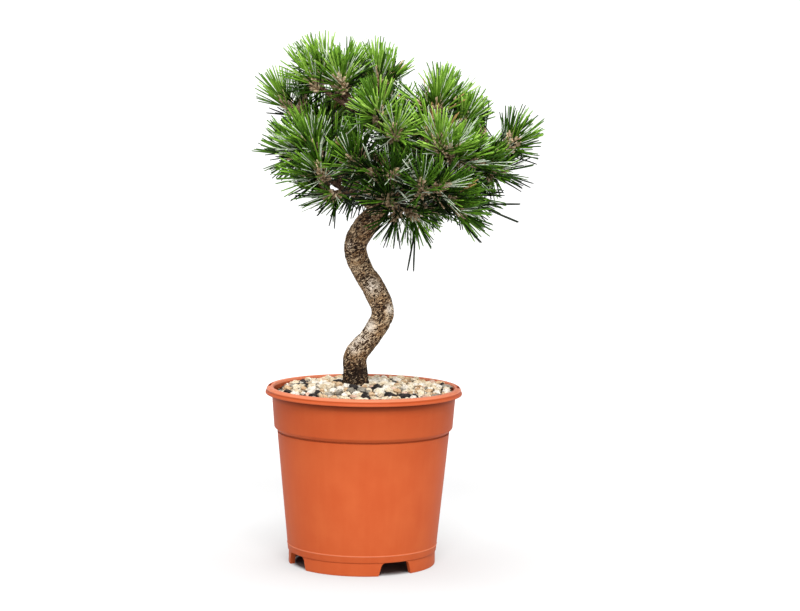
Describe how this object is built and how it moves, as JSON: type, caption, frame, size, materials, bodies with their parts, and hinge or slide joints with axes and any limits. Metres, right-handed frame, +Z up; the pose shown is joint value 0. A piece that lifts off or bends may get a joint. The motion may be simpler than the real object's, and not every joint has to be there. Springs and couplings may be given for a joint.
{
  "type": "potted japanese black pine",
  "caption": "Young Japanese black pine with a bare winding trunk and a spreading crown of short needle tufts, in a round terracotta plastic nursery pot dressed with pumice stones.",
  "frame": {"origin": "middle of the whole plant's box as seen from above, on the surface that the pot stands on", "axes": "+Z is up; -Y is the side of the crown that the picture shows; +X is to the right in it"},
  "size_m": [0.3254, 0.2856, 0.6072],
  "materials": {
    "pot_plastic": "satin",
    "grit": "matt",
    "pumice": "matt",
    "bark": "matt",
    "needles": "satin"
  },
  "bodies": {
    "root": {"pot": "pot_plastic", "fill": "grit", "top_dressing": "pumice", "trunk": "bark", "bough_left_mid": "bark", "bough_left_high": "bark", "bough_crest_left": "bark", "bough_front_low_right": "bark", "bough_right_front": "bark", "bough_right_high": "bark", "bough_right": "bark", "bough_right_low": "bark", "bough_back_left": "bark", "bough_back_right": "bark", "bough_back_mid": "bark", "bough_back_low_left": "bark", "bough_back_low": "bark", "bough_back_low_right": "bark", "needles_left_low": "needles", "needles_left_mid": "needles", "needles_left_high": "needles", "needles_crest_left": "needles", "needles_crest": "needles", "needles_front_high": "needles", "needles_front_mid": "needles", "needles_front_low": "needles", "needles_front_low_right": "needles", "needles_right_front": "needles", "needles_leader": "needles", "needles_right_high": "needles", "needles_right": "needles", "needles_right_low": "needles", "needles_back_left": "needles", "needles_back_crest": "needles", "needles_back_right_high": "needles", "needles_back_right": "needles", "needles_back_mid": "needles", "needles_back_low_left": "needles", "needles_back_low": "needles", "needles_back_low_right": "needles"}
  },
  "joints": []
}
